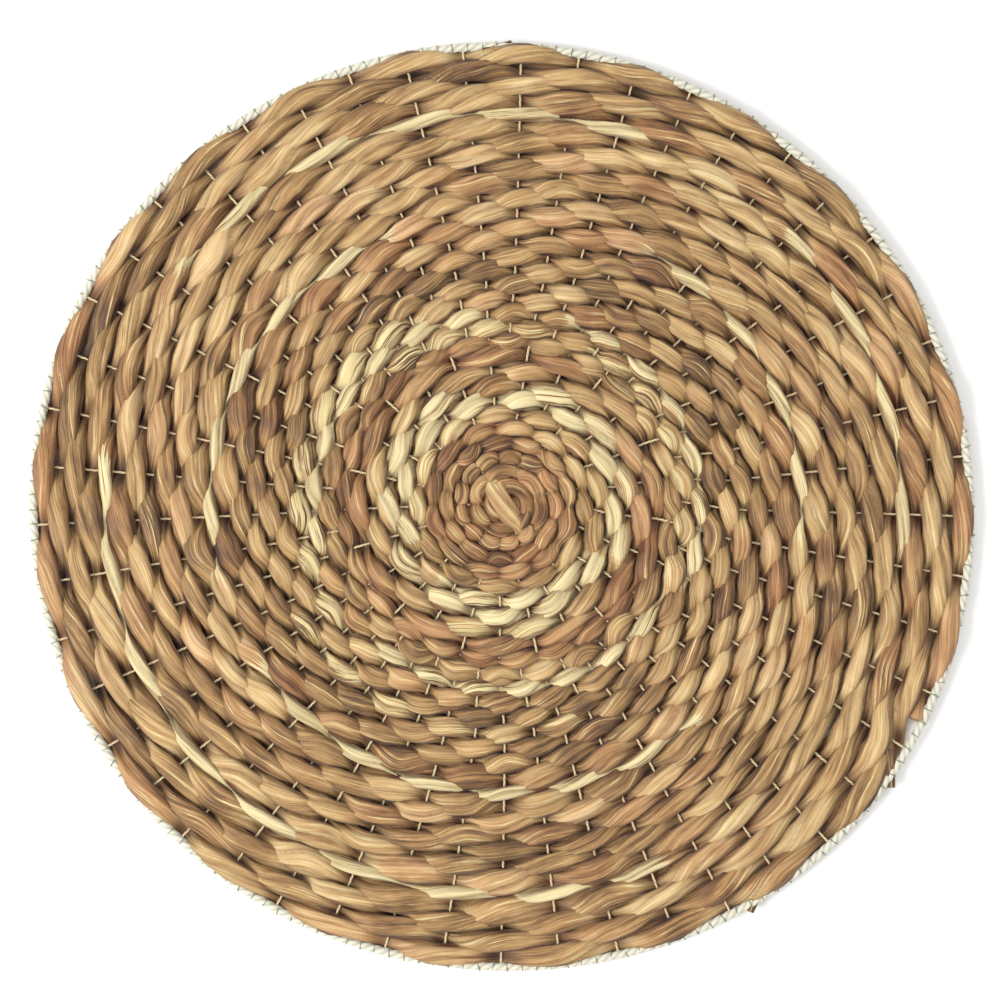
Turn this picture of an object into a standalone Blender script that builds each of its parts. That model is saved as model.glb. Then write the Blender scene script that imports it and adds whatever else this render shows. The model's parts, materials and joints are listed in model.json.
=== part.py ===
"""Round chair seat pad, woven from flattened plant stalks over radial strings.

A single spiral of stalk (the weft) runs clockwise, seen from above, from a
knot at the centre out to an edge cord.  It passes over one radial string (the
warp) and under the next, so the number of strings is always odd and every row
lies opposite to the last.
Metres, +Z up, the pad lies flat on z = 0 with its box centred on the origin.
"""
import math

import bmesh
import bpy
from mathutils import Vector

# Driving sizes
PAD_DIAMETER = 0.380          # across the edge cord, averaged round the rim
WEFT_TURNS = 30               # rows of stalk between the knot and the edge
STALK_THICKNESS = 0.0038      # one row of weft, top to bottom
ROW_GAP = 0.0005              # between one row and the next
STALK_END_GAP = 0.0006        # between the end of one stalk and the next
STRING_DIAMETER = 0.0010      # radial warp strings
STRING_CLEARANCE = 0.0004     # between a string and whatever it passes
EDGE_CORD_DIAMETER = 0.0034   # pale cord bound round the rim
KNOT_DIAMETER = 0.0124        # plug of stalk that the spiral starts from
KNOT_HEIGHT = 0.0066
KNOT_FLAT_DIAMETER = 0.0090   # flat underside of the knot
KNOT_CLEARANCE = 0.0004
TAIL_WIDTH = 0.0050           # free end of the first stalk, laid across the knot
TAIL_THICKNESS = 0.0018
SEAM_ANGLE = math.radians(-27.0)   # where each turn of the spiral begins

# Warp layout: strings are added as the pad grows, and each count stays odd
INNER_STRINGS = 13
MIDDLE_STRINGS = 2 * INNER_STRINGS - 1
OUTER_STRINGS = 2 * MIDDLE_STRINGS - 1
MIDDLE_FROM_TURN = 2          # first turn woven over the middle count
OUTER_FROM_TURN = 10          # first turn woven over the full count
BLEND_TURNS = 5               # turns over which the strings even out again
RIM_BLEND = 0.2               # share of a turn where the rim closes the step
LEVEL_TURNS = 3               # tight inner turns that lie level where they cross a string
LEVEL_LENGTH = 0.0014         # length of that level stretch

# Mesh fineness
BLEND_STEPS = 3               # straight pieces of string across a blend
RIM_RUN_STEPS = 4             # straight pieces of string along the rim
RIM_SEGMENTS = 2 * OUTER_STRINGS
CORD_SIDES = 8
KNOT_SIDES = 24

# Sizes that follow from the ones above
EDGE_STACK = 2.0 * STRING_CLEARANCE + STRING_DIAMETER + EDGE_CORD_DIAMETER
ROW_SPACE = (PAD_DIAMETER - KNOT_DIAMETER) / 2.0 - KNOT_CLEARANCE + ROW_GAP - EDGE_STACK
ROW_PITCH = ROW_SPACE / (WEFT_TURNS + 0.5 + RIM_BLEND / 2.0)
STALK_WIDTH = ROW_PITCH - ROW_GAP
START_RADIUS = KNOT_DIAMETER / 2.0 + KNOT_CLEARANCE + STALK_WIDTH / 2.0
WAVE = STRING_DIAMETER / 2.0 + STRING_CLEARANCE + STALK_THICKNESS / 2.0
PAD_THICKNESS = 2.0 * WAVE + STALK_THICKNESS
MID_HEIGHT = PAD_THICKNESS / 2.0

# Turns woven from a paler stalk than the rest
PALE_TURNS = (6, 7, 12, 19, 26)

STALK_COLOUR = (0.47, 0.31, 0.16)
PALE_STALK_COLOUR = (0.74, 0.63, 0.40)
STRING_COLOUR = (0.72, 0.60, 0.42)
EDGE_CORD_COLOUR = (0.80, 0.74, 0.62)


def clear_scene():
    """Remove whatever the file opened with."""
    for old in list(bpy.data.objects):
        bpy.data.objects.remove(old, do_unlink=True)


def make_material(name, colour, roughness):
    """A plain dry plant-fibre finish."""
    material = bpy.data.materials.new(name)
    material.use_nodes = True
    shader = material.node_tree.nodes["Principled BSDF"]
    shader.inputs["Base Color"].default_value = (*colour, 1.0)
    shader.inputs["Roughness"].default_value = roughness
    shader.inputs["Metallic"].default_value = 0.0
    material.diffuse_color = (*colour, 1.0)
    return material


def smooth_step(t):
    """0 to 1 with level ends."""
    t = min(max(t, 0.0), 1.0)
    return t * t * (3.0 - 2.0 * t)


def row_radius(turns):
    """Radius of the weft's centre line after this many turns of the spiral."""
    return START_RADIUS + ROW_PITCH * turns


def rim_offset_radius(share, offset):
    """Radius at this share of a turn, this far outside the last row's edge.

    The last row ends one pitch proud of where it began, and the rim closes
    that step over the first part of the turn.
    """
    step = 1.0 - smooth_step(share / RIM_BLEND)
    return row_radius(WEFT_TURNS - 1 + share + step) + STALK_WIDTH / 2.0 + offset


def rim_string_radius(share):
    """Centre line of a string where it runs along inside the edge cord."""
    return rim_offset_radius(share, STRING_CLEARANCE + STRING_DIAMETER / 2.0)


def edge_cord_radius(share):
    """Centre line of the edge cord."""
    return rim_offset_radius(share, EDGE_STACK - EDGE_CORD_DIAMETER / 2.0)


def flat_point(share, radius):
    """The point at this share of a turn and radius from the spiral's centre."""
    angle = SEAM_ANGLE - 2.0 * math.pi * share
    return Vector((radius * math.cos(angle), radius * math.sin(angle), 0.0))


def box_centre():
    """Centre of the rim's outline, which the spiral's step leaves a little off."""
    reach = EDGE_CORD_DIAMETER / 2.0
    points = []
    for index in range(RIM_SEGMENTS):
        share = index / RIM_SEGMENTS
        points.append(flat_point(share, edge_cord_radius(share) + reach))
    xs = [point.x for point in points]
    ys = [point.y for point in points]
    return Vector(((min(xs) + max(xs)) / 2.0, (min(ys) + max(ys)) / 2.0, 0.0))


PAD_CENTRE = box_centre()


def place(share, radius, height):
    """A point of the pad, from its polar place in the spiral."""
    point = flat_point(share, radius) - PAD_CENTRE
    point.z = height
    return point


def string_share(string, radius):
    """Share of a turn at which a string crosses this radius.

    The strings are evenly spaced in each zone, and drift from one spacing to
    the next over the first turns of the new zone.
    """
    inner = (string / 4.0 + 0.5) / INNER_STRINGS
    middle = (string / 2.0 + 0.5) / MIDDLE_STRINGS
    outer = (string + 0.5) / OUTER_STRINGS
    blend_length = BLEND_TURNS * ROW_PITCH
    to_middle = (radius - row_radius(MIDDLE_FROM_TURN - 1)) / blend_length
    to_outer = (radius - row_radius(OUTER_FROM_TURN - 1)) / blend_length
    share = inner + (middle - inner) * min(max(to_middle, 0.0), 1.0)
    return share + (outer - middle) * min(max(to_outer, 0.0), 1.0)


def crossing_share(string, turn):
    """Share of the turn at which a row of weft meets a string."""
    share = (string + 0.5) / OUTER_STRINGS
    for _ in range(3):
        share = string_share(string, row_radius(turn - 1 + share))
    return share


def strings_crossed(turn):
    """The strings that a turn of weft passes over and under."""
    if turn < MIDDLE_FROM_TURN:
        return range(0, OUTER_STRINGS, 4)
    if turn < OUTER_FROM_TURN:
        return range(0, OUTER_STRINGS, 2)
    return range(OUTER_STRINGS)


def first_turn_of(string):
    """The first turn that crosses this string."""
    if string % 4 == 0:
        return 1
    if string % 2 == 0:
        return MIDDLE_FROM_TURN
    return OUTER_FROM_TURN


def make_object(name, mesh_data, material):
    """Turn a finished bmesh into a named object."""
    bmesh.ops.recalc_face_normals(mesh_data, faces=mesh_data.faces)
    mesh = bpy.data.meshes.new(name)
    mesh_data.to_mesh(mesh)
    mesh_data.free()
    mesh.materials.append(material)
    piece = bpy.data.objects.new(name, mesh)
    bpy.context.scene.collection.objects.link(piece)
    return piece


def loft(name, sections, closed, material):
    """Join equal sections into one solid, as a ring or with a cap at each end."""
    mesh_data = bmesh.new()
    rings = [[mesh_data.verts.new(point) for point in section] for section in sections]
    sides = len(rings[0])
    pairs = list(zip(rings, rings[1:]))
    if closed:
        pairs.append((rings[-1], rings[0]))
    for ring, following in pairs:
        for side in range(sides):
            after = (side + 1) % sides
            corners = (ring[side], ring[after], following[after], following[side])
            mesh_data.faces.new(corners)
    if not closed:
        mesh_data.faces.new(rings[0])
        mesh_data.faces.new(rings[-1])
    return make_object(name, mesh_data, material)


def stalk_section(share, radius, height):
    """Flattened stalk, cut square across the row."""
    half_width = STALK_WIDTH / 2.0
    half_height = STALK_THICKNESS / 2.0
    corners = ((-1, -1), (1, -1), (1, 1), (-1, 1))
    return [
        place(share, radius + half_width * across, height + half_height * up)
        for across, up in corners
    ]


def bend_shares(string, turn):
    """Where a row bends at a string: one crest, or both ends of a level stretch."""
    share = crossing_share(string, turn)
    if turn > LEVEL_TURNS:
        return [share]
    half = LEVEL_LENGTH / 2.0 / (2.0 * math.pi * row_radius(turn - 1 + share))
    return [share - half, share + half]


def make_weft_turn(turn, crossed_before, material):
    """One turn of the spiral, over one string and under the next."""
    start = STALK_END_GAP / 2.0 / (2.0 * math.pi * row_radius(turn - 1))
    finish = 1.0 - STALK_END_GAP / 2.0 / (2.0 * math.pi * row_radius(turn))
    sections = [stalk_section(start, row_radius(turn - 1 + start), MID_HEIGHT)]
    for count, string in enumerate(strings_crossed(turn)):
        side = 1 if (crossed_before + count) % 2 == 0 else -1
        for share in bend_shares(string, turn):
            radius = row_radius(turn - 1 + share)
            sections.append(stalk_section(share, radius, MID_HEIGHT + side * WAVE))
    sections.append(stalk_section(finish, row_radius(turn - 1 + finish), MID_HEIGHT))
    return loft(f"weft_turn_{turn:02d}", sections, False, material)


def make_weft(stalk, pale_stalk):
    """All the turns, counting crossings so that over and under run on."""
    crossed = 0
    for turn in range(1, WEFT_TURNS + 1):
        material = pale_stalk if turn in PALE_TURNS else stalk
        make_weft_turn(turn, crossed, material)
        crossed += len(strings_crossed(turn))


def inner_end_radius(string):
    """Where a string begins: at the knot, or between two rows."""
    turn = first_turn_of(string)
    if turn == 1:
        return KNOT_DIAMETER / 2.0 + KNOT_CLEARANCE
    return row_radius(turn - 1 + crossing_share(string, turn)) - ROW_PITCH / 2.0


def leg_points(string):
    """A string from its inner end to just short of the rim."""
    start = inner_end_radius(string)
    finish = rim_string_radius(string_share(string, row_radius(WEFT_TURNS)))
    radii = [start]
    for zone_turn in (MIDDLE_FROM_TURN, OUTER_FROM_TURN):
        for step in range(BLEND_STEPS + 1):
            radius = row_radius(zone_turn - 1 + BLEND_TURNS * step / BLEND_STEPS)
            if start < radius < finish:
                radii.append(radius)
    radii.append(finish - STRING_DIAMETER)
    return [place(string_share(string, radius), radius, MID_HEIGHT) for radius in radii]


def string_section(point, direction):
    """Four-sided string, edge up, square to the way it runs."""
    half = STRING_DIAMETER / 2.0
    across = Vector((-direction.y, direction.x, 0.0)).normalized() * half
    up = Vector((0.0, 0.0, half))
    return [point - across, point - up, point + across, point + up]


def make_string(name, points, material):
    """A string of one thickness along its points."""
    sections = []
    last = len(points) - 1
    for index, point in enumerate(points):
        direction = points[min(index + 1, last)] - points[max(index - 1, 0)]
        sections.append(string_section(point, direction))
    return loft(name, sections, False, material)


def make_warp(material):
    """Strings in pairs, each bent round inside the edge cord, and one alone."""
    for number, string in enumerate(range(0, OUTER_STRINGS - 1, 2), start=1):
        outward = leg_points(string)
        inward = leg_points(string + 1)
        first = string_share(string, row_radius(WEFT_TURNS))
        last = string_share(string + 1, row_radius(WEFT_TURNS))
        corner = STRING_DIAMETER / (2.0 * math.pi * row_radius(WEFT_TURNS))
        run = []
        for step in range(RIM_RUN_STEPS + 1):
            along = step / RIM_RUN_STEPS
            share = first + corner + (last - first - 2.0 * corner) * along
            run.append(place(share, rim_string_radius(share), MID_HEIGHT))
        inward.reverse()
        make_string(f"warp_string_{number:02d}", outward + run + inward, material)
    single = OUTER_STRINGS - 1
    make_string("warp_string_single", leg_points(single), material)


def make_edge_cord(material):
    """Closed cord round the rim."""
    sections = []
    for index in range(RIM_SEGMENTS):
        share = index / RIM_SEGMENTS
        centre_radius = edge_cord_radius(share)
        section = []
        for side in range(CORD_SIDES):
            angle = 2.0 * math.pi * side / CORD_SIDES
            radius = centre_radius + EDGE_CORD_DIAMETER / 2.0 * math.cos(angle)
            height = MID_HEIGHT + EDGE_CORD_DIAMETER / 2.0 * math.sin(angle)
            section.append(place(share, radius, height))
        sections.append(section)
    cord = loft("edge_cord", sections, True, material)
    cord.data.shade_smooth()
    return cord


def make_knot(material):
    """Squat plug of wound stalk with a flat underside."""
    flat = KNOT_FLAT_DIAMETER / 2.0
    full = KNOT_DIAMETER / 2.0
    slope = full - flat
    profile = ((flat, 0.0), (full, slope), (full, KNOT_HEIGHT - slope), (flat, KNOT_HEIGHT))
    sections = []
    for radius, height in profile:
        ring = []
        for side in range(KNOT_SIDES):
            ring.append(place(side / KNOT_SIDES, radius, height))
        sections.append(ring)
    knot = loft("centre_knot", sections, False, material)
    knot.data.shade_smooth()
    knot.data.set_sharp_from_angle(angle=math.radians(40.0))
    return knot


def make_tail(material):
    """Free end of the first stalk, bowed over the knot."""
    half_length = KNOT_FLAT_DIAMETER / 2.0
    low = KNOT_HEIGHT + KNOT_CLEARANCE
    rise = PAD_THICKNESS - TAIL_THICKNESS - low
    steps = 6
    sections = []
    for step in range(steps + 1):
        along = 2.0 * step / steps - 1.0
        half_width = TAIL_WIDTH / 2.0 * (1.0 - 0.4 * along * along)
        bottom = low + rise * (1.0 - along * along)
        centre = Vector((0.0, half_length * along, 0.0)) - PAD_CENTRE
        section = []
        for across, up in ((-1, 0), (1, 0), (1, 1), (-1, 1)):
            corner = Vector((half_width * across, 0.0, bottom + TAIL_THICKNESS * up))
            section.append(centre + corner)
        sections.append(section)
    return loft("centre_tail", sections, False, material)


def main():
    clear_scene()
    stalk = make_material("stalk", STALK_COLOUR, 0.62)
    pale_stalk = make_material("pale_stalk", PALE_STALK_COLOUR, 0.55)
    string = make_material("warp_string", STRING_COLOUR, 0.75)
    edge_cord = make_material("edge_cord", EDGE_CORD_COLOUR, 0.80)
    make_weft(stalk, pale_stalk)
    make_warp(string)
    make_edge_cord(edge_cord)
    make_knot(stalk)
    make_tail(pale_stalk)


main()
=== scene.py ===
"""Round chair seat pad, woven from dried water-plant stalk over radial strings.

One spiral of stalk passes over one string and under the next, clockwise from
a wound centre out to a pale bound cord.  Each turn of the spiral is a piece of its
own.  Metres, +Z up, the pad lies flat on z = 0.
"""
import json
import math
from functools import partial

import bpy
import numpy as np
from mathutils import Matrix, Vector


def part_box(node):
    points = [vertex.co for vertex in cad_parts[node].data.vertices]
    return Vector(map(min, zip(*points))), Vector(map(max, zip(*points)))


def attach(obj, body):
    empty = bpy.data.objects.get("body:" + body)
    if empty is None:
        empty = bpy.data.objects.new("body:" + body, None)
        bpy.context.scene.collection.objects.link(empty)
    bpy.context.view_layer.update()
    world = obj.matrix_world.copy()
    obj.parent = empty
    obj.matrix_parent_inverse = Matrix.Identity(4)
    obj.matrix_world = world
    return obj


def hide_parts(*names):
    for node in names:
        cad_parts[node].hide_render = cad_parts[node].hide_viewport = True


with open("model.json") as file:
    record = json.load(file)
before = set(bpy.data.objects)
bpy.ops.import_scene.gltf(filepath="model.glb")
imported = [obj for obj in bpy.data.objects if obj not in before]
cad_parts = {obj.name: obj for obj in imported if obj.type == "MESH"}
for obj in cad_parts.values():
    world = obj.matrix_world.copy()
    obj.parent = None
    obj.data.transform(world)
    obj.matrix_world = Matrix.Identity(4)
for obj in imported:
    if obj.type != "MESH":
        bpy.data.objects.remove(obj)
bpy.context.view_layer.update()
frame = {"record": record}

# The weave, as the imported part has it
WEFT_TURNS = 30               # turns of the spiral
ROW_GAP = 0.0005              # between one row and the next
STALK_THICKNESS = 0.0038
STRING_DIAMETER = 0.0010
STRING_CLEARANCE = 0.0004     # between a string and whatever it passes
EDGE_CORD_DIAMETER = 0.0034
PAD_DIAMETER = 0.380
KNOT_DIAMETER = 0.0124
SEAM_ANGLE = math.radians(-27.0)   # where each turn of the spiral begins
INNER_STRINGS = 13
MIDDLE_STRINGS = 25
OUTER_STRINGS = 49
MIDDLE_FROM_TURN = 2          # first turn woven over the middle count of strings
OUTER_FROM_TURN = 10          # first turn woven over all the strings
BLEND_TURNS = 5               # turns over which the strings even out again
RIM_BLEND = 0.2               # share of a turn where the rim closes the spiral's step

# Sizes that follow from the ones above
KNOT_LOW, KNOT_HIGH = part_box("centre_knot")
HUB = (KNOT_LOW + KNOT_HIGH) / 2.0
EDGE_STACK = 2.0 * STRING_CLEARANCE + STRING_DIAMETER + EDGE_CORD_DIAMETER
ROW_SPACE = (PAD_DIAMETER - KNOT_DIAMETER) / 2.0 - STRING_CLEARANCE + ROW_GAP - EDGE_STACK
ROW_PITCH = ROW_SPACE / (WEFT_TURNS + 0.5 + RIM_BLEND / 2.0)
STALK_WIDTH = ROW_PITCH - ROW_GAP
START_RADIUS = KNOT_DIAMETER / 2.0 + STRING_CLEARANCE + STALK_WIDTH / 2.0
WAVE = STRING_DIAMETER / 2.0 + STRING_CLEARANCE + STALK_THICKNESS / 2.0
MID_HEIGHT = WAVE + STALK_THICKNESS / 2.0

# The stalk as it lies: plump over a string, squeezed between its neighbours
HALF_WIDTH = 0.00345          # halfway between two strings
UNDER_WIDTH = 0.00470         # of the lower face, which closes the weave between the rows
CREST_SWELL = 0.00040         # more on each side where the stalk lies over a string
BITE_SQUEEZE = 0.00125        # less on each side where a string crosses it
SIDE_SWAY = 0.00060           # how far the stalk swings sideways on its way over a string
TOP_HEIGHT = 0.00455          # above and below the pad's middle, at the crests
BITE_DEPTH = 0.00480          # how far a string sinks the stalk's face below the crests
BITE_SHARPNESS = 2.7          # how closely the stalk hugs a string: higher is closer
BITE_WANDER = 0.10            # share of the way to the next string that a bite may miss its string by
SLANT_LEAD = 0.72             # radians of the wave by which one edge bulges before the other
TWIST_RATE = 42.0             # radians of twist to each metre of stalk
STALK_STEPS = 12              # lengthwise steps from one string to the next
STALK_SIDES = 26
STALK_LENGTHS = (0.22, 0.60)  # shortest and longest real length before a splice
FULLNESS = 0.0015             # how far the rim stands out all round
BULGE = 0.0020                # how far the rim stands out on one side
BULGE_ANGLE = math.radians(-65.0)
CENTRE_DRIFT = (0.0036, 0.0007)    # how far the first rows lie off the rim's centre
OVAL = 0.0014                 # how far the rim is out of round
OVAL_ANGLE = math.radians(-20.0)
EASE_IN = 0.014               # share of a turn over which the last rows ease outward
LAST_ROW_SPREAD = 0.0009      # how far the last row swells out over the edge cord
END_KICK = 0.0015             # how far the spiral's cut end stands out
END_SHARE = 0.012             # over this share of its last turn
STRING_BOW = 0.00012          # how far a string gives way to the stalk it passes
STRING_STEP = 0.0006          # between points along a string
CORD_TUCK = 0.0018            # how far the edge cord is drawn in under the last row
CORD_LAYS = 100               # whole turns of the edge cord's plies round the rim
SEED = 11

# Near the middle the strings crowd together and the stalk lies tight between them
TIGHT_GAP = 0.0062            # between strings, where it lies as tight as it gets
LOOSE_FROM_TIGHT = 0.0045     # this much further apart, it lies loose
HUG_GAP = 0.008               # between strings, where it begins to hug them
HUG_FROM_GAP = 0.012          # this much further apart, it hugs them fully
# Share that is left, where it lies tight, of
TIGHT_DEPTH = 0.30            # the bites' depth
TIGHT_HUG = 0.55              # how closely it hugs a string
TIGHT_TOP = 0.94              # the crests' height
TIGHT_WIDTH = 0.84            # its half width
TIGHT_EDGE = 0.4              # the swell and the squeeze of its edges
TIGHT_SIDE = 0.3              # its swing sideways
TIGHT_SHADE = 0.5             # the shade beside a string
# Where a thin strip of stalk was used, share that is missing
THIN_DEPTH = 0.45             # of the bites' depth
THIN_WIDTH = 0.34             # of the width
THIN_SHADE = 0.6              # of the shade beside a string
THIN_ROOM = 0.30              # share of their width that the rows beside it gain
# The last rows
RIM_CALM = 0.6                # share of its unevenness that the last row lacks
RIM_ROWS = 4                  # rows that make up for the spiral's last step
RIM_SHIFT = 0.21              # share of a row that each of them lies further out
RIM_BREADTH = 0.055           # share of the width that each of them gains

# Strings, edge cord and binding thread as they look
TWINE_DIAMETER = 0.00104
TWINE_LAY = 0.0046            # along a string, for one turn of its plies
TWINE_GROOVE = 0.34           # share of the radius that the plies' groove is deep
CORD_DIAMETER = 0.0036
CORD_GROOVE = 0.24
WRAPS = 196                   # of binding thread round the edge cord
WRAP_RADIUS = 0.00176
THREAD_RADIUS = 0.00022
WRAP_UNEVENNESS = 0.0003      # how far a wrap lies off its even place
RIM_END_LENGTH = 0.012        # of the cut ends of stalk at the rim
COIL_TURNS = 1.30             # of stalk inside the first row

# The setting
FLOOR_REACH = 6.0             # from the pad's middle to the floor's edge
FLOOR_LEVEL = -0.0003
WIDTH_SEEN = 0.4043           # across the camera's frame, at the pad
LENS, SENSOR = 85.0, 36.0     # mm

# What varies from crossing to crossing or from length to length: lowest, highest, draw
VARIES = {
    "crest height": (0.90, 1.05, 1),
    "side place": (-0.00055, 0.00055, 2),
    "swell": (-0.4, 2.2, 3),
    "breadth of a length": (0.95, 1.06, 4),
    "pale skin": (0.55, 1.25, 5),
    "tone of a length": (-0.10, 0.10, 6),
    "tone": (-0.25, 0.25, 7),
    "blush of a length": (-0.5, 0.7, 8),
    "blush": (-0.5, 0.5, 9),
    "roll": (-0.5, 0.5, 10),
    "bite place": (-BITE_WANDER, BITE_WANDER, 12),
}


def smooth_step(value):
    """0 to 1 with level ends, for a number or an array."""
    value = np.clip(value, 0.0, 1.0)
    return value * value * (3.0 - 2.0 * value)


def grow(low, share):
    """From low to 1 as the share goes from 0 to 1."""
    return low + (1.0 - low) * share


def row_radius(turns):
    """Radius of the weft's centre line after this many turns of the spiral."""
    return START_RADIUS + ROW_PITCH * turns


def string_share(string, radius):
    """Share of a turn at which a string crosses this radius."""
    inner = (string / 4.0 + 0.5) / INNER_STRINGS
    middle = (string / 2.0 + 0.5) / MIDDLE_STRINGS
    outer = (string + 0.5) / OUTER_STRINGS
    blend_length = BLEND_TURNS * ROW_PITCH
    to_middle = np.clip((radius - row_radius(MIDDLE_FROM_TURN - 1)) / blend_length, 0.0, 1.0)
    to_outer = np.clip((radius - row_radius(OUTER_FROM_TURN - 1)) / blend_length, 0.0, 1.0)
    share = inner + (middle - inner) * to_middle
    return share + (outer - middle) * to_outer


def crossing_share(string, turn):
    """Share of the turn at which a row of weft meets a string."""
    share = (string + 0.5) / OUTER_STRINGS
    for _ in range(3):
        share = string_share(string, row_radius(turn - 1 + share))
    return share


def strings_crossed(turn):
    """The strings that a turn of weft passes over and under."""
    if turn < MIDDLE_FROM_TURN:
        return range(0, OUTER_STRINGS, 4)
    if turn < OUTER_FROM_TURN:
        return range(0, OUTER_STRINGS, 2)
    return range(OUTER_STRINGS)


def first_turn_of(string):
    """The first turn that crosses this string."""
    if string % 4 == 0:
        return 1
    if string % 2 == 0:
        return MIDDLE_FROM_TURN
    return OUTER_FROM_TURN


def all_crossings():
    """Every crossing along the spiral, in turns from its start."""
    found = []
    for turn in range(1, WEFT_TURNS + 1):
        for string in strings_crossed(turn):
            found.append(turn - 1 + float(crossing_share(string, turn)))
    return np.array(found)


CROSSINGS = all_crossings()


def polar(share, radius, height):
    """Points of the pad, from their polar places in the spiral, a little out of round."""
    angle = SEAM_ANGLE - 2.0 * math.pi * share
    bulge = FULLNESS + BULGE * np.cos(angle - BULGE_ANGLE) + OVAL * np.cos(2.0 * (angle - OVAL_ANGLE))
    outer = (radius / (PAD_DIAMETER / 2.0)) ** 2
    radius = radius + bulge * outer
    x = HUB.x + CENTRE_DRIFT[0] * (1.0 - outer) + radius * np.cos(angle)
    y = HUB.y + CENTRE_DRIFT[1] * (1.0 - outer) + radius * np.sin(angle)
    return np.stack([x, y, height + np.zeros_like(x)], axis=-1)


# ---------------------------------------------------------------- small tools

def linear(hex_colour):
    """An sRGB hex colour as linear red, green, blue and alpha."""
    parts = [int(hex_colour[start:start + 2], 16) / 255.0 for start in (1, 3, 5)]
    return tuple(c / 12.92 if c <= 0.04045 else ((c + 0.055) / 1.055) ** 2.4 for c in parts) + (1.0,)


# Node kinds and settings that the trees below use many times
MATH = "ShaderNodeMath"
VECTOR_MATH = "ShaderNodeVectorMath"
NOISE = "ShaderNodeTexNoise"
MIX = "ShaderNodeMix"
MAP = "ShaderNodeMapRange"
ATTRIBUTE = "ShaderNodeAttribute"
JOIN = "ShaderNodeCombineXYZ"
NAMED = "GeometryNodeInputNamedAttribute"
STORE = "GeometryNodeStoreNamedAttribute"
ADD = {"operation": "ADD"}
SUBTRACT = {"operation": "SUBTRACT"}
MULTIPLY = {"operation": "MULTIPLY"}
MULTIPLY_ADD = {"operation": "MULTIPLY_ADD"}
DIVIDE = {"operation": "DIVIDE"}
POWER = {"operation": "POWER"}
ABSOLUTE = {"operation": "ABSOLUTE"}
SINE = {"operation": "SINE"}
COSINE = {"operation": "COSINE"}
MODULO = {"operation": "FLOORED_MODULO"}
SCALE = {"operation": "SCALE"}
COLOUR = {"data_type": "RGBA"}
MULTIPLY_COLOUR = {"data_type": "RGBA", "blend_type": "MULTIPLY"}
FIRST, SECOND, MIXED = 6, 7, 2     # a colour mix's two inputs and its output
VECTOR = {"data_type": "FLOAT_VECTOR"}
ON_POINTS = {"data_type": "FLOAT", "domain": "POINT"}
VECTOR_ON_POINTS = {"data_type": "FLOAT_VECTOR", "domain": "POINT"}


def add_node(tree, kind, settings=None, inputs=None):
    """Add a node, set its properties, then set or feed its inputs by name or number.

    An input takes a value, an output socket, or a node, which gives its first output.
    """
    made = tree.nodes.new(kind)
    for name, value in (settings or {}).items():
        setattr(made, name, value)
    for key, value in (inputs or {}).items():
        if isinstance(value, bpy.types.Node):
            value = value.outputs[0]
        if isinstance(value, bpy.types.NodeSocket):
            tree.links.new(value, made.inputs[key])
        else:
            made.inputs[key].default_value = value
    return made


def guide_object(name, points, attributes, closed=False):
    """A line of points as a mesh of edges, with values on its points, for a tree to sweep."""
    count = len(points)
    mesh = bpy.data.meshes.new(name)
    edges = [(index, index + 1) for index in range(count - 1)]
    if closed:
        edges.append((count - 1, 0))
    mesh.from_pydata([tuple(point) for point in points], edges, [])
    for key, values in attributes.items():
        values = np.asarray(values, np.float32)
        if values.ndim == 2:
            mesh.attributes.new(key, "FLOAT_VECTOR", "POINT").data.foreach_set("vector", values.ravel())
        else:
            mesh.attributes.new(key, "FLOAT", "POINT").data.foreach_set("value", values)
    made = bpy.data.objects.new(name, mesh)
    bpy.context.scene.collection.objects.link(made)
    return made


def run_tree(made, tree, inputs):
    """Run a tree on an object, keep the result as its plain mesh and drop the modifier."""
    modifier = made.modifiers.new(tree.name, "NODES")
    modifier.node_group = tree
    identifiers = {item.name: item.identifier for item in tree.interface.items_tree
                   if item.item_type == "SOCKET" and item.in_out == "INPUT"}
    for name, value in inputs.items():
        modifier[identifiers[name]] = value
    graph = bpy.context.evaluated_depsgraph_get()
    graph.update()
    result = bpy.data.meshes.new_from_object(made.evaluated_get(graph))
    made.modifiers.remove(modifier)
    guide = made.data
    made.data = result
    bpy.data.meshes.remove(guide)
    result.name = made.name


def drop_attributes(mesh, names):
    """Remove values that only the making of a piece needed."""
    for name in names:
        if name in mesh.attributes:
            mesh.attributes.remove(mesh.attributes[name])


def turn_outward(mesh):
    """Make a closed mesh's faces look outward, told by the sign of its volume."""
    mesh.calc_loop_triangles()
    places = np.empty(len(mesh.vertices) * 3, np.float64)
    mesh.vertices.foreach_get("co", places)
    places = places.reshape(-1, 3)
    corners = np.empty(len(mesh.loop_triangles) * 3, np.int32)
    mesh.loop_triangles.foreach_get("vertices", corners)
    a, b, c = (places[corners.reshape(-1, 3)[:, index]] for index in range(3))
    if np.einsum("ij,ij->i", a, np.cross(b, c)).sum() < 0.0:
        mesh.flip_normals()


def new_tree(name, sockets):
    """A geometry tree with the named inputs it takes, its adder of nodes, and its two ends."""
    tree = bpy.data.node_groups.new(name, "GeometryNodeTree")
    tree.interface.new_socket("Geometry", in_out="OUTPUT", socket_type="NodeSocketGeometry")
    tree.interface.new_socket("Geometry", in_out="INPUT", socket_type="NodeSocketGeometry")
    for key, kind in sockets:
        tree.interface.new_socket(key, in_out="INPUT", socket_type=kind)
    given, out = tree.nodes.new("NodeGroupInput").outputs, tree.nodes.new("NodeGroupOutput").inputs
    return tree, partial(add_node, tree), given, out


# ------------------------------------------------------------------ materials

def new_material(name):
    """A material with its node tree, the tree's adder of nodes, and its shader."""
    material = bpy.data.materials.new(name)
    material.use_nodes = True
    tree = material.node_tree
    return material, tree, partial(add_node, tree), tree.nodes["Principled BSDF"]


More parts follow.
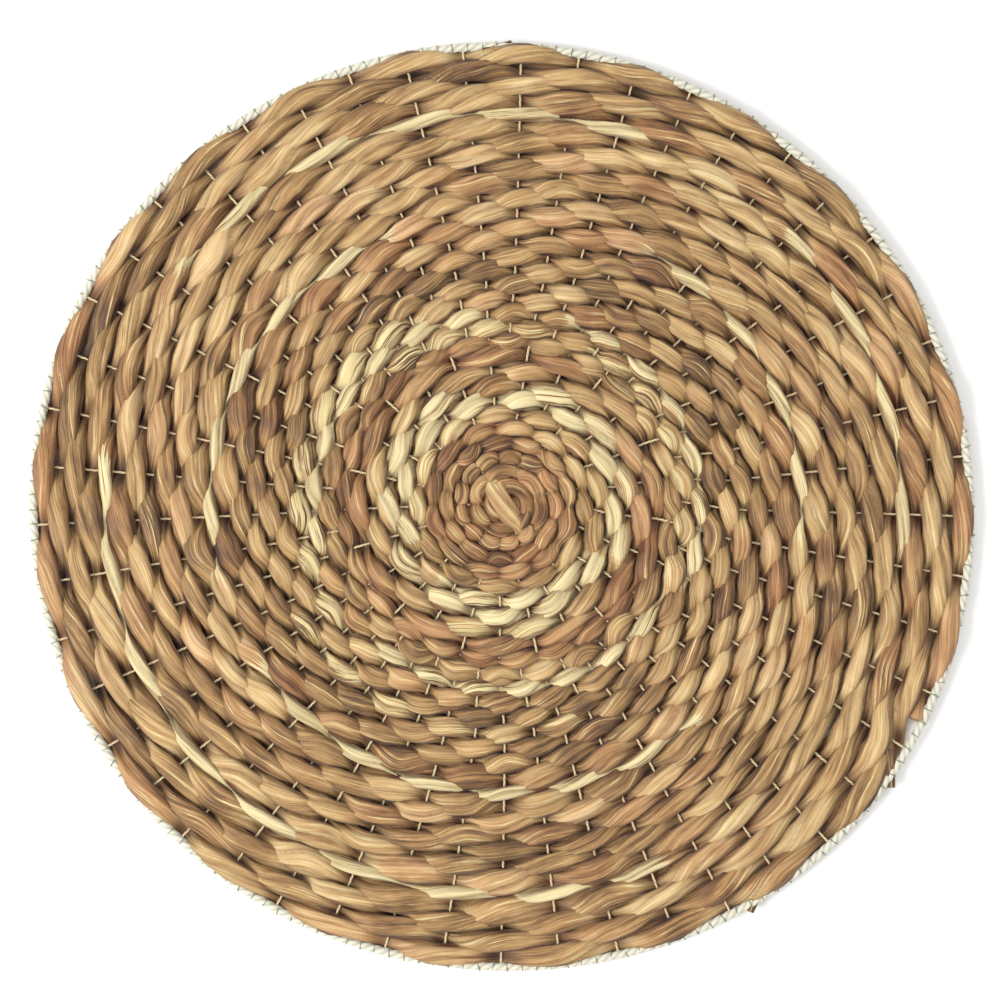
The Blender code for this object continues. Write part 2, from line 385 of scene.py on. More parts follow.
def stalk_material(name, tones, cream):
    """Dried flattened stalk: long fibres, soft satin skin, with painted shade in the recesses.

    tones: hex colours from the darkest to the lightest length of stalk.
    cream: hex colour of the pale inner skin where the stalk shows it.
    """
    material, tree, add, shader = new_material(name)
    fibre = add(ATTRIBUTE, {"attribute_name": "fibre"}).outputs["Vector"]
    tone, blush, level, shut_in, valley = (
        add(ATTRIBUTE, {"attribute_name": name}).outputs["Fac"]
        for name in ("tone", "blush", "cream_level", "shut_in", "valley"))
    # Strands 1 mm wide and 28 mm long, then single fibres 0.35 mm wide
    strand_place = add(VECTOR_MATH, MULTIPLY, {0: fibre, 1: (1050.0, 1050.0, 36.0)})
    strand = add(NOISE, None, {"Vector": strand_place, "Scale": 1.0, "Detail": 3.0, "Roughness": 0.55})
    hair_place = add(VECTOR_MATH, MULTIPLY, {0: fibre, 1: (2900.0, 2900.0, 90.0)})
    hair = add(NOISE, None, {"Vector": hair_place, "Scale": 1.0, "Detail": 2.0, "Roughness": 0.6})
    # Blotches about 9 mm long where the stalk dried unevenly
    blotch_place = add(VECTOR_MATH, MULTIPLY, {0: fibre, 1: (260.0, 260.0, 110.0)})
    blotch = add(NOISE, None, {"Vector": blotch_place, "Scale": 1.0, "Detail": 2.0})
    streaks = add(MATH, MULTIPLY_ADD, {0: strand, 1: 1.20, 2: -0.585})
    hairs = add(MATH, MULTIPLY_ADD, {0: hair, 1: 0.85, 2: -0.425})
    blotches = add(MATH, MULTIPLY_ADD, {0: blotch, 1: 0.45, 2: -0.225})
    fine = add(MATH, ADD, {0: streaks, 1: hairs})
    broad = add(MATH, ADD, {0: tone, 1: blotches})
    place = add(MATH, ADD, {0: fine, 1: broad})
    ramp = add("ShaderNodeValToRGB", None, {"Fac": place})
    stops = ramp.color_ramp.elements
    while len(stops) < len(tones):
        stops.new(0.5)
    for index, hex_colour in enumerate(tones):
        stops[index].position = 0.08 + 0.84 * index / (len(tones) - 1)
        stops[index].color = linear(hex_colour)
    # Some lengths dry to a pinker tan
    rosy = add(MIX, MULTIPLY_COLOUR, {"Factor": blush, FIRST: ramp, SECOND: linear("#F3DCDC")}).outputs[MIXED]
    # The pale inner skin shows with a ragged edge along the fibres
    ragged = add(MATH, MULTIPLY_ADD, {0: fine, 1: 1.5, 2: level})
    skin = add(MAP, {"interpolation_type": "SMOOTHSTEP"},
               {"Value": ragged, "From Min": -0.05, "From Max": 0.07})
    streak_share = add(MAP, None, {"Value": fine, "From Min": -0.35, "From Max": 0.12})
    pale = add(MIX, COLOUR,
               {"Factor": streak_share, FIRST: linear("#A98A57"), SECOND: linear(cream)}).outputs[MIXED]
    skinned = add(MIX, COLOUR, {"Factor": skin, FIRST: rosy, SECOND: pale}).outputs[MIXED]
    # Painted shade: stalk under a string, on the flanks beside the next row and in the fold valleys is
    # darkened towards dark brown
    painted_fold_shade = add(MATH, MULTIPLY, {0: valley, 1: -0.55})
    shaded = add(MATH, {"operation": "MULTIPLY_ADD", "use_clamp": True}, {0: shut_in, 1: 0.70, 2: painted_fold_shade})
    colour = add(MIX, MULTIPLY_COLOUR,
                 {"Factor": shaded, FIRST: skinned, SECOND: linear("#6E4A2D")}).outputs[MIXED]
    rough = add(MAP, None, {"Value": strand, "To Min": 0.42, "To Max": 0.66})
    ridges = add(MATH, MULTIPLY_ADD, {0: hair, 1: 0.35, 2: strand})
    bump = add("ShaderNodeBump", None, {"Strength": 0.8, "Distance": 0.0006, "Height": ridges})
    tree.links.new(colour, shader.inputs["Base Color"])
    tree.links.new(rough.outputs["Result"], shader.inputs["Roughness"])
    tree.links.new(bump.outputs["Normal"], shader.inputs["Normal"])
    shader.inputs["IOR"].default_value = 1.45
    shader.inputs["Specular IOR Level"].default_value = 0.42
    shader.inputs["Sheen Weight"].default_value = 0.12
    shader.inputs["Sheen Roughness"].default_value = 0.5
    return material


def twine_material(name, light, dark, roughness):
    """Twisted vegetable twine: matt, with painted shade in the grooves between its plies."""
    material, tree, add, shader = new_material(name)
    fibre = add(ATTRIBUTE, {"attribute_name": "fibre"}).outputs["Vector"]
    groove = add(ATTRIBUTE, {"attribute_name": "groove"}).outputs["Fac"]
    # Spun fibres 0.2 mm thick, drawn 2 mm long
    place = add(VECTOR_MATH, MULTIPLY, {0: fibre, 1: (5000.0, 5000.0, 500.0)})
    fuzz = add(NOISE, None, {"Vector": place, "Scale": 1.0, "Detail": 2.0})
    # Painted shade: darker in the grooves between the plies, mixed with random fuzz along the fibres
    shade = add(MATH, MULTIPLY_ADD, {0: fuzz, 1: 0.5, 2: groove})
    factor = add(MAP, None, {"Value": shade, "From Min": 0.15, "From Max": 1.0})
    colour = add(MIX, COLOUR, {"Factor": factor, FIRST: linear(dark), SECOND: linear(light)}).outputs[MIXED]
    bump = add("ShaderNodeBump", None, {"Strength": 0.4, "Distance": 0.0002, "Height": fuzz})
    tree.links.new(colour, shader.inputs["Base Color"])
    tree.links.new(bump.outputs["Normal"], shader.inputs["Normal"])
    shader.inputs["Roughness"].default_value = roughness
    shader.inputs["IOR"].default_value = 1.45
    shader.inputs["Specular IOR Level"].default_value = 0.25
    shader.inputs["Sheen Weight"].default_value = 0.2
    return material


# ------------------------------------------------- what the trees have in common

def sweep_ring(add, given):
    """Sweep a ring along the guide, with each point's angle round it kept by name."""
    ring = add("GeometryNodeCurvePrimitiveCircle", None, {"Resolution": given["Sides"]})
    step = add(MATH, DIVIDE, {0: 2.0 * math.pi, 1: given["Sides"]})
    index = add("GeometryNodeInputIndex")
    ring_angle = add(MATH, MULTIPLY, {0: index, 1: step})
    ring = add(STORE, ON_POINTS, {"Geometry": ring, "Name": "round_angle", "Value": ring_angle})
    line = add("GeometryNodeMeshToCurve", None, {"Mesh": given["Geometry"]})
    return add("GeometryNodeCurveToMesh", None, {"Curve": line, "Profile Curve": ring, "Fill Caps": True})


def place_swept(add, swept, across_size, up_size):
    """Move swept points to their place off the centre line, across it and up."""
    across = add(NAMED, VECTOR, {"Name": "across"})
    up = add(NAMED, VECTOR, {"Name": "up"})
    centre = add(NAMED, VECTOR, {"Name": "centre"})
    sideways = add(VECTOR_MATH, SCALE, {0: across, "Scale": across_size})
    upward = add(VECTOR_MATH, SCALE, {0: up, "Scale": up_size})
    offset = add(VECTOR_MATH, ADD, {0: sideways, 1: upward})
    place = add(VECTOR_MATH, ADD, {0: centre, 1: offset})
    return add("GeometryNodeSetPosition", None, {"Geometry": swept, "Position": place})


def end_tree(tree, add, geometry, given, out):
    """Smooth a tree's result, make it real and dress it."""
    smooth = add("GeometryNodeSetShadeSmooth", None, {"Geometry": geometry})
    real = add("GeometryNodeRealizeInstances", None, {"Geometry": smooth})
    dressed = add("GeometryNodeSetMaterial", None, {"Geometry": real, "Material": given["Material"]})
    tree.links.new(dressed.outputs["Geometry"], out["Geometry"])
    return tree


# --------------------------------------------------------------- stalk sweep

def stalk_tree():
    """Sweeps a stalk's section along its guide: flattened, folded and crumpled.

    The guide's points carry the centre line, the two directions across it, the
    half sizes, the twist and the distance along the stalk.
    """
    tree, add, given, out = new_tree("Stalk sweep", (
        ("Sides", "NodeSocketInt"),
        ("Folds", "NodeSocketInt"),
        ("Fold depth", "NodeSocketFloat"),
        ("Flats", "NodeSocketInt"),
        ("Squareness", "NodeSocketFloat"),
        ("Crumple", "NodeSocketFloat"),
        ("Crumple length", "NodeSocketFloat"),
        ("Seed", "NodeSocketFloat"),
        ("Material", "NodeSocketMaterial"),
    ))

    swept = sweep_ring(add, given)

    angle = add(NAMED, None, {"Name": "round_angle"})
    angle_cosine = add(MATH, COSINE, {0: angle})
    angle_sine = add(MATH, SINE, {0: angle})
    roll = add(NAMED, None, {"Name": "roll"})
    turned = add(MATH, SUBTRACT, {0: angle, 1: roll})
    cosine = add(MATH, COSINE, {0: turned})
    sine = add(MATH, SINE, {0: turned})
    # Folds of unequal width, with sharp valleys between them
    uneven = add(MATH, MULTIPLY_ADD, {0: sine, 1: 0.45, 2: turned})
    half_folds = add(MATH, MULTIPLY, {0: given["Folds"], 1: 0.5})
    fold_wave = add(MATH, SINE, {0: add(MATH, MULTIPLY, {0: uneven, 1: half_folds})})
    ridge = add(MATH, POWER, {0: add(MATH, ABSOLUTE, {0: fold_wave}), 1: 0.55})
    valley = add(MATH, SUBTRACT, {0: ridge, 1: 1.0})
    fold = add(MATH, MULTIPLY, {0: valley, 1: given["Fold depth"]})
    # Flats pressed into the stalk, which meet in long edges
    sector = add(MATH, DIVIDE, {0: 2.0 * math.pi, 1: given["Flats"]})
    half_sector = add(MATH, MULTIPLY, {0: sector, 1: 0.5})
    in_sector = add(MATH, MODULO, {0: uneven, 1: sector})
    from_middle = add(MATH, SUBTRACT, {0: in_sector, 1: half_sector})
    flat = add(MATH, DIVIDE, {0: add(MATH, COSINE, {0: half_sector}), 1: add(MATH, COSINE, {0: from_middle})})
    # Crumpling that runs lengthwise
    along = add(NAMED, None, {"Name": "along"})
    crumples = add(MATH, DIVIDE, {0: along, 1: given["Crumple length"]})
    crumple_place = add(JOIN, None, {0: cosine, 1: sine, 2: crumples})
    noise = add(NOISE, {"noise_dimensions": "4D"},
                {"Vector": crumple_place, "W": given["Seed"], "Scale": 1.6, "Detail": 2.0})
    dent = add(MATH, SUBTRACT, {0: noise, 1: 0.5})
    folded = add(MATH, ADD, {0: fold, 1: flat})
    size = add(MATH, MULTIPLY_ADD, {0: dent, 1: given["Crumple"], 2: folded})
    # A rounded oblong rather than an oval
    wide = add(MATH, POWER, {0: add(MATH, ABSOLUTE, {0: angle_cosine}), 1: given["Squareness"]})
    tall = add(MATH, POWER, {0: add(MATH, ABSOLUTE, {0: angle_sine}), 1: given["Squareness"]})
    inverse = add(MATH, DIVIDE, {0: -1.0, 1: given["Squareness"]})
    blunt = add(MATH, POWER, {0: add(MATH, ADD, {0: wide, 1: tall}), 1: inverse})
    reach = add(MATH, MULTIPLY, {0: size, 1: blunt})
    # The upper and the lower face have their own width and sideways place
    face = add(MATH, MULTIPLY_ADD, {0: angle_sine, 1: 1.1, 2: 0.5})
    above = add(NAMED, VECTOR, {"Name": "upper_face"})
    under = add(NAMED, VECTOR, {"Name": "lower_face"})
    chosen = add(MIX, {"data_type": "VECTOR"}, {"Factor": face, 4: under, 5: above})
    split = add("ShaderNodeSeparateXYZ", None, {0: chosen.outputs[1]}).outputs
    # Folds and dents show in the height of the stalk, and less in its width
    side_size = add(MATH, MULTIPLY_ADD, {0: size, 1: 0.35, 2: 0.65})
    side_reach = add(MATH, MULTIPLY, {0: side_size, 1: blunt})
    reach_across = add(MATH, MULTIPLY, {0: angle_cosine, 1: side_reach})
    across_size = add(MATH, MULTIPLY_ADD, {0: reach_across, 1: split["X"], 2: split["Y"]})
    half_height = add(NAMED, None, {"Name": "half_height"})
    reach_up = add(MATH, MULTIPLY, {0: angle_sine, 1: reach})
    up_size = add(MATH, MULTIPLY, {0: reach_up, 1: half_height})
    placed = place_swept(add, swept, across_size, up_size)
    # Fibre coordinates in metres: round the stalk, then along it
    fibre_out = add(MATH, MULTIPLY, {0: cosine, 1: HALF_WIDTH})
    fibre_up = add(MATH, MULTIPLY, {0: sine, 1: HALF_WIDTH})
    fibre = add(JOIN, None, {0: fibre_out, 1: fibre_up, 2: along})
    stored = add(STORE, VECTOR_ON_POINTS, {"Geometry": placed, "Name": "fibre", "Value": fibre})
    # How far inside the pale stripe of skin each point is
    pale_side = add(NAMED, None, {"Name": "pale_side"})
    from_stripe = add(MATH, SUBTRACT, {0: angle, 1: pale_side})
    to_stripe = add(MATH, COSINE, {0: from_stripe})
    facing = add(MATH, MULTIPLY_ADD, {0: to_stripe, 1: 0.4, 2: -0.72})
    pale = add(NAMED, None, {"Name": "pale"})
    level = add(MATH, MULTIPLY_ADD, {0: pale, 1: 1.2, 2: facing})
    stored = add(STORE, ON_POINTS, {"Geometry": stored, "Name": "cream_level", "Value": level})
    # Painted shade: darker under each string, and on the flanks pressed against the next rows
    shut_in = add(MATH, MULTIPLY_ADD, {0: wide, 1: 0.5, 2: split["Z"]})
    stored = add(STORE, ON_POINTS, {"Geometry": stored, "Name": "shut_in", "Value": shut_in})
    # Painted shade in the valleys between the folds
    stored = add(STORE, ON_POINTS, {"Geometry": stored, "Name": "valley", "Value": valley})
    return end_tree(tree, add, stored, given, out)


GUIDE_VALUES = ("centre", "across", "up", "upper_face", "lower_face", "half_height", "roll", "along",
                "round_angle", "pale", "pale_side")


def crossing_values(low, high, draw):
    """A value for every crossing of the spiral."""
    random = np.random.default_rng(SEED * 1000 + draw)
    return random.uniform(low, high, len(CROSSINGS))


def length_values(low, high, draw):
    """A value for every crossing, kept for one real length of stalk between splices."""
    lengths = np.random.default_rng(SEED * 1000)
    random = np.random.default_rng(SEED * 1000 + draw)
    spacing = np.diff(CROSSINGS, append=CROSSINGS[-1] + 0.02)
    travelled = np.cumsum(spacing * 2.0 * math.pi * row_radius(CROSSINGS))
    values = np.empty(len(CROSSINGS))
    start = 0.0
    while start < travelled[-1]:
        finish = start + lengths.uniform(*STALK_LENGTHS)
        values[(travelled >= start) & (travelled < finish)] = random.uniform(low, high)
        start = finish
    values[-1] = values[-2]
    return values


# Pale lengths: turn, where they start and end as shares of that turn, how much
# of the stalk's face is pale, which side of it (0 outward, 90 up, 180 inward),
# and how thin a strip of stalk was used, from 0 to 1
PALE_LENGTHS = (
    (5, 0.35, 0.60, 0.30, 80.0, 0.0),
    (6, 0.00, 0.30, 0.55, 90.0, 0.0),
    (6, 0.36, 1.00, 0.60, 90.0, 0.0),
    (7, 0.00, 0.62, 0.50, 100.0, 0.0),
    (7, 0.70, 1.00, 0.45, 100.0, 0.0),
    (8, 0.10, 0.30, 0.32, 60.0, 0.0),
    (11, 0.55, 1.00, 0.30, 120.0, 0.0),
    (12, 0.00, 0.30, 0.52, 80.0, 0.4),
    (12, 0.38, 0.66, 0.55, 80.0, 0.4),
    (12, 0.72, 1.00, 0.48, 80.0, 0.4),
    (13, 0.30, 0.62, 0.40, 100.0, 0.0),
    (15, 0.10, 0.35, 0.28, 90.0, 0.0),
    (19, 0.05, 0.34, 0.78, 80.0, 1.0),
    (19, 0.38, 0.62, 0.74, 80.0, 1.0),
    (19, 0.75, 0.95, 0.55, 100.0, 1.0),
    (26, 0.10, 0.45, 0.78, 80.0, 1.0),
    (26, 0.52, 0.74, 0.70, 90.0, 1.0),
    (26, 0.80, 0.95, 0.66, 90.0, 1.0),
)
PALE_EDGE = 0.012             # share of a turn over which a pale length begins or ends


def within(turns, turn, start, finish):
    """1 inside this stretch of a turn and 0 outside it, eased at its ends."""
    begun = smooth_step((turns - (turn - 1 + start)) / PALE_EDGE)
    return begun * smooth_step((turn - 1 + finish - turns) / PALE_EDGE)


def thinness(turns):
    """How thin a strip the stalk is at these places, from 0 to 1."""
    thin = np.zeros_like(turns)
    for turn, start, finish, _, _, strip in PALE_LENGTHS:
        thin = np.maximum(thin, strip * within(turns, turn, start, finish))
    return thin


def crossing_number(turns):
    """How many crossings lie behind these places, with the share of the way to the next."""
    places = np.arange(len(CROSSINGS))
    number = np.interp(turns, CROSSINGS, places)
    before = (turns - CROSSINGS[0]) / (CROSSINGS[1] - CROSSINGS[0])
    past = (turns - CROSSINGS[-1]) / (CROSSINGS[-1] - CROSSINGS[-2])
    number = np.where(turns < CROSSINGS[0], before, number)
    return np.where(turns > CROSSINGS[-1], places[-1] + past, number)


def eased(values, number):
    """Crossing values at these crossing numbers, eased from one crossing to the next."""
    lower = np.clip(np.floor(number).astype(int), 0, len(CROSSINGS) - 1)
    upper = np.clip(lower + 1, 0, len(CROSSINGS) - 1)
    share = smooth_step(number - lower)
    return values[lower] * (1.0 - share) + values[upper] * share


def pale_skin(turns, number):
    """How much of the stalk's face is pale at these places, and towards which side."""
    pale = np.zeros_like(turns)
    side = np.full_like(turns, math.pi / 2.0)
    for turn, start, finish, amount, facing, _ in PALE_LENGTHS:
        inside = within(turns, turn, start, finish)
        pale = np.maximum(pale, amount * inside)
        side = np.where(inside > 0.0, math.radians(facing), side)
    return pale * eased(crossing_values(*VARIES["pale skin"]), number), side


def rim_easing(turns):
    """How much the last rows, each more than the one inside it, make up for the spiral's last step."""
    share = turns % 1.0
    easing = smooth_step(share / EASE_IN) * (1.0 - smooth_step(share / RIM_BLEND))
    return easing * np.clip(np.floor(turns) - (WEFT_TURNS - 1 - RIM_ROWS), 0.0, RIM_ROWS)


def outward_of(turns, heading):
    """Unit direction away from the pad's middle, square to the way the stalk runs."""
    outward = polar(turns, np.ones_like(turns), 0.0) - polar(turns, np.zeros_like(turns), 0.0)
    outward -= heading * np.einsum("ij,ij->i", outward, heading)[:, None]
    return outward / np.linalg.norm(outward, axis=1)[:, None]


def face_values(wave, lead, half_width, squeeze, loose, swell, breadth, thin):
    """Half width, sideways place and painted shade of one face, a slanted lens over each string."""
    def edge(edge_wave):
        """Half width on one side: wide at the crest, squeezed at the string."""
        crest = CREST_SWELL * swell * np.clip(np.cos(edge_wave), 0.0, 1.0)
        bite = squeeze * np.clip(np.cos(edge_wave), -1.0, 0.0)
        return (half_width * grow(TIGHT_WIDTH, loose) + (crest + bite) * grow(TIGHT_EDGE, loose)) * breadth

    outer, inner = edge(wave + lead), edge(wave - lead)
    # Painted shade, deepest where a string crosses the face
    shade = ((1.0 - np.cos(wave)) / 2.0) ** 6 * grow(TIGHT_SHADE, loose) * (1.0 - THIN_SHADE * thin)
    return np.stack([(outer + inner) / 2.0, (outer - inner) / 2.0, shade], axis=-1)


def stalk_values(turns):
    """Everything the sweep needs at these places, given in turns from the spiral's start."""
    number = crossing_number(turns)

    def varied(name):
        """What varies from crossing to crossing, at these places."""
        return eased(crossing_values(*VARIES[name]), number)

    def length_varied(name):
        """What varies from one length of stalk to the next, at these places."""
        return eased(length_values(*VARIES[name]), number)

    # The wave over and under the strings, whose bites miss them a little
    wander = np.interp(number, np.arange(len(CROSSINGS)), crossing_values(*VARIES["bite place"]))
    phase = math.pi * (number + wander)
    # Straight-line distance between strings, which sets how steeply the stalk climbs
    radius = row_radius(turns)
    spacing = np.diff(CROSSINGS, append=2.0 * CROSSINGS[-1] - CROSSINGS[-2])
    gap = 2.0 * math.pi * radius * np.interp(turns, CROSSINGS, spacing)
    loose = smooth_step((gap - TIGHT_GAP) / LOOSE_FROM_TIGHT)
    thin = thinness(turns)
    depth = BITE_DEPTH * grow(TIGHT_DEPTH, loose) * (1.0 - THIN_DEPTH * thin)
    hug = BITE_SHARPNESS * grow(TIGHT_HUG, smooth_step((gap - HUG_GAP) / HUG_FROM_GAP))
    crest_top = TOP_HEIGHT * grow(TIGHT_TOP, loose) * varied("crest height")
    top = crest_top - depth * ((1.0 - np.cos(phase)) / 2.0) ** hug
    bottom = depth * ((1.0 + np.cos(phase)) / 2.0) ** hug - crest_top
    height = MID_HEIGHT + (top + bottom) / 2.0
    # Thin strips leave room that the rows beside them fill
    room = THIN_ROOM * (thinness(turns + 1.0) + thinness(turns - 1.0))
    filling = rim_easing(turns)
    share_of_width = 1.0 - THIN_WIDTH * thin + room + RIM_BREADTH * filling
    breadth = length_varied("breadth of a length") * share_of_width
    last_row = smooth_step((turns - (WEFT_TURNS - 1.0)) / RIM_BLEND)
    calm = 1.0 - RIM_CALM * last_row    # the last row is held straight by the rim
    side = varied("side place") + SIDE_SWAY * loose * calm * np.sin(phase)
    side = side * grow(TIGHT_SIDE, loose) + filling * ROW_PITCH * RIM_SHIFT
    side = side + LAST_ROW_SPREAD * last_row * (0.85 + 0.15 * np.cos(phase))
    side = side + END_KICK * smooth_step((turns - (WEFT_TURNS - END_SHARE)) / END_SHARE)
    centre = polar(turns, radius + side, height)
    heading = np.gradient(centre, axis=0)
    heading /= np.linalg.norm(heading, axis=1)[:, None]
    outward = outward_of(turns, heading)
    along = math.pi * (radius ** 2 - START_RADIUS ** 2) / ROW_PITCH
    pale, pale_side = pale_skin(turns, number)
    shared = (loose, varied("swell"), breadth, thin)
    upper = face_values(phase, -SLANT_LEAD, HALF_WIDTH, BITE_SQUEEZE * calm, *shared)
    lower = face_values(phase + math.pi, SLANT_LEAD, UNDER_WIDTH, 0.0, *shared)
    return centre, {
        "centre": centre,
        "across": outward,
        "up": np.cross(heading, outward),
        "upper_face": upper,
        "lower_face": lower,
        "half_height": (top - bottom) / 2.0,
        "roll": 2.0 * varied("roll") - TWIST_RATE * along,
        "along": along,
        "pale": pale,
        "pale_side": pale_side,
        "tone": 0.5 + length_varied("tone of a length") + varied("tone"),
        "blush": np.clip(length_varied("blush of a length") + varied("blush"), 0.0, 1.0),
    }


def stalk_inputs(material):
    """How the stalk sweep shapes one piece."""
    return {"Sides": STALK_SIDES, "Folds": 3, "Fold depth": 0.30, "Flats": 5, "Squareness": 3.4,
            "Crumple": 0.36, "Crumple length": 0.011, "Seed": 3.7, "Material": material}


def make_weft(tree, stalk, pale_stalk):
    """The thirty turns of the spiral, each a piece that runs on into the next."""
    for turn in range(1, WEFT_TURNS + 1):
        steps = len(strings_crossed(turn)) * STALK_STEPS
        turns = turn - 1 + np.arange(steps + 1) / steps
        points, values = stalk_values(turns)
        node = f"weft_turn_{turn:02d}"
        slot = frame_slot(node)
        material = pale_stalk if slot == "pale_stalk" else stalk
        make_piece(tree, stalk_inputs(material), f"stalk_row_{turn:02d}", points, values, [node])


def frame_slot(node):
    """The record's material slot of a CAD node."""
    for subpart in frame["record"]["subparts"]:
        if subpart["node"] == node:
            return subpart["material_slot"]
    raise ValueError(node)


def make_piece(tree, inputs, name, points, values, nodes, closed=False):
    """Sweep a guide into a piece, rest it on the floor, attach it to the root and hide the CAD parts it
    stands for.
    """
    piece = guide_object(name, points, values, closed)
    run_tree(piece, tree, inputs)
    mesh = piece.data
    drop_attributes(mesh, GUIDE_VALUES)
    turn_outward(mesh)
    places = np.empty(len(mesh.vertices) * 3, np.float32)
    mesh.vertices.foreach_get("co", places)
    places[2::3] = np.maximum(places[2::3], 0.0)
    mesh.vertices.foreach_set("co", places)
    mesh.update()
    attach(piece, "root")
    if nodes:
        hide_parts(*nodes)


# ------------------------------------------------------- strings and the rim

def twine_tree():
    """Sweeps a cord of twisted plies along its guide."""
    tree, add, given, out = new_tree("Twine sweep", (
        ("Sides", "NodeSocketInt"),
        ("Plies", "NodeSocketInt"),
        ("Diameter", "NodeSocketFloat"),
        ("Groove depth", "NodeSocketFloat"),
        ("Lay length", "NodeSocketFloat"),
        ("Material", "NodeSocketMaterial"),
    ))
    swept = sweep_ring(add, given)
    # The plies turn once round the cord in each lay length
    angle = add(NAMED, None, {"Name": "round_angle"})
    along = add(NAMED, None, {"Name": "along"})
    lays = add(MATH, DIVIDE, {0: along, 1: given["Lay length"]})
    turned = add(MATH, MULTIPLY_ADD, {0: lays, 1: -2.0 * math.pi, 2: angle})
    half_plies = add(MATH, MULTIPLY, {0: given["Plies"], 1: 0.5})
    ply_wave = add(MATH, SINE, {0: add(MATH, MULTIPLY, {0: turned, 1: half_plies})})
    ply = add(MATH, ABSOLUTE, {0: ply_wave})
    below = add(MATH, SUBTRACT, {0: ply, 1: 1.0})
    share = add(MATH, MULTIPLY_ADD, {0: below, 1: given["Groove depth"], 2: 1.0})
    radius = add(MATH, MULTIPLY, {0: given["Diameter"], 1: 0.5})
    reach = add(MATH, MULTIPLY, {0: share, 1: radius})
    angle_cosine = add(MATH, COSINE, {0: angle})
    angle_sine = add(MATH, SINE, {0: angle})
    across_size = add(MATH, MULTIPLY, {0: angle_cosine, 1: reach})
    up_size = add(MATH, MULTIPLY, {0: angle_sine, 1: reach})
    placed = place_swept(add, swept, across_size, up_size)
    fibre_out = add(MATH, MULTIPLY, {0: add(MATH, COSINE, {0: turned}), 1: reach})
    fibre_up = add(MATH, MULTIPLY, {0: add(MATH, SINE, {0: turned}), 1: reach})
    fibre = add(JOIN, None, {0: fibre_out, 1: fibre_up, 2: along})
    stored = add(STORE, VECTOR_ON_POINTS, {"Geometry": placed, "Name": "fibre", "Value": fibre})
    # The ply value, low in the grooves, which the material turns into painted shade
    stored = add(STORE, ON_POINTS, {"Geometry": stored, "Name": "groove", "Value": ply})
    return end_tree(tree, add, stored, given, out)


def twine_values(points, closed=False):
    """What a sweep needs along these points: centre, two directions across, distance."""
    heading = np.gradient(points, axis=0)
    if closed:
        heading = np.roll(points, -1, axis=0) - np.roll(points, 1, axis=0)
    heading /= np.linalg.norm(heading, axis=1)[:, None]
    across = np.cross(heading, (0.0, 0.0, 1.0))
    across /= np.linalg.norm(across, axis=1)[:, None]
    steps = np.linalg.norm(np.diff(points, axis=0), axis=1)
    return {
        "centre": points,
        "across": across,
        "up": np.cross(across, heading),
        "along": np.concatenate([[0.0], np.cumsum(steps)]),
    }


def even_points(points, spacing):
    """The same path with points evenly spaced along it."""
    steps = np.linalg.norm(np.diff(points, axis=0), axis=1)
    along = np.concatenate([[0.0], np.cumsum(steps)])
    wanted = np.linspace(0.0, along[-1], int(along[-1] / spacing) + 2)
    return np.stack([np.interp(wanted, along, points[:, axis]) for axis in range(3)], axis=-1)


def rim_offset_radius(share, offset):
    """Radius at this share of a turn, this far outside the last row's edge."""
    step = 1.0 - smooth_step(share / RIM_BLEND)
    return row_radius(WEFT_TURNS - 1 + share + step) + STALK_WIDTH / 2.0 + offset


def string_leg(string):
    """A string from its inner end to the rim, bowing past each row it meets."""
    first = first_turn_of(string)
    start = KNOT_DIAMETER / 2.0 + STRING_CLEARANCE
    if first > 1:
        start = row_radius(first - 1 + crossing_share(string, first)) - ROW_PITCH / 2.0
    finish = rim_offset_radius((string + 0.5) / OUTER_STRINGS, STRING_CLEARANCE)
    met, bows = [start], [0.0]
    crossed = 0
    for turn in range(1, WEFT_TURNS + 1):
        strings = list(strings_crossed(turn))
        if string in strings:
            over = (crossed + strings.index(string)) % 2 == 0
            met.append(row_radius(turn - 1 + crossing_share(string, turn)))
            bows.append(-STRING_BOW if over else STRING_BOW)
        crossed += len(strings)
    met.append(finish)
    bows.append(0.0)
    radii = np.linspace(start, finish, 400)
    share = np.array([float(string_share(string, radius)) for radius in radii])
    return polar(share, radii, MID_HEIGHT + np.interp(radii, met, bows))


def make_strings(tree, material):
    """The radial strings, each pair joined by a run inside the edge cord."""
    inputs = {"Sides": 7, "Plies": 2, "Diameter": TWINE_DIAMETER, "Groove depth": TWINE_GROOVE,
              "Lay length": TWINE_LAY, "Material": material}
    for number, string in enumerate(range(0, OUTER_STRINGS - 1, 2), start=1):
        corner = STRING_DIAMETER / (2.0 * math.pi * row_radius(WEFT_TURNS))
        begin, end = (string + 0.5) / OUTER_STRINGS, (string + 1.5) / OUTER_STRINGS
        share = np.linspace(begin + corner, end - corner, 24)
        run = polar(share, rim_offset_radius(share, STRING_CLEARANCE + STRING_DIAMETER / 2.0), MID_HEIGHT)
        path = np.concatenate([string_leg(string), run, string_leg(string + 1)[::-1]])
        points = even_points(path, STRING_STEP)
        node = f"warp_string_{number:02d}"
        make_piece(tree, inputs, f"radial_string_{number:02d}", points, twine_values(points),
                   [node])
    points = even_points(string_leg(OUTER_STRINGS - 1), STRING_STEP)
    node = "warp_string_single"
    make_piece(tree, inputs, "radial_string_single", points, twine_values(points), [node])


def rim_path(count):
    """Evenly shared points along the middle of the edge cord."""
    share = np.arange(count) / count
    offset = EDGE_STACK - EDGE_CORD_DIAMETER / 2.0 - CORD_TUCK
    return polar(share, rim_offset_radius(share, offset), MID_HEIGHT)


def make_edge_cord(tree, material):
    """The pale three-ply cord round the rim."""
    points = rim_path(1080)
    length = np.linalg.norm(points - np.roll(points, 1, axis=0), axis=1).sum()
    inputs = {"Sides": 18, "Plies": 3, "Diameter": CORD_DIAMETER, "Groove depth": CORD_GROOVE,
              "Lay length": length / CORD_LAYS, "Material": material}
    make_piece(tree, inputs, "rim_cord", points, twine_values(points, closed=True),
               ["edge_cord"], closed=True)


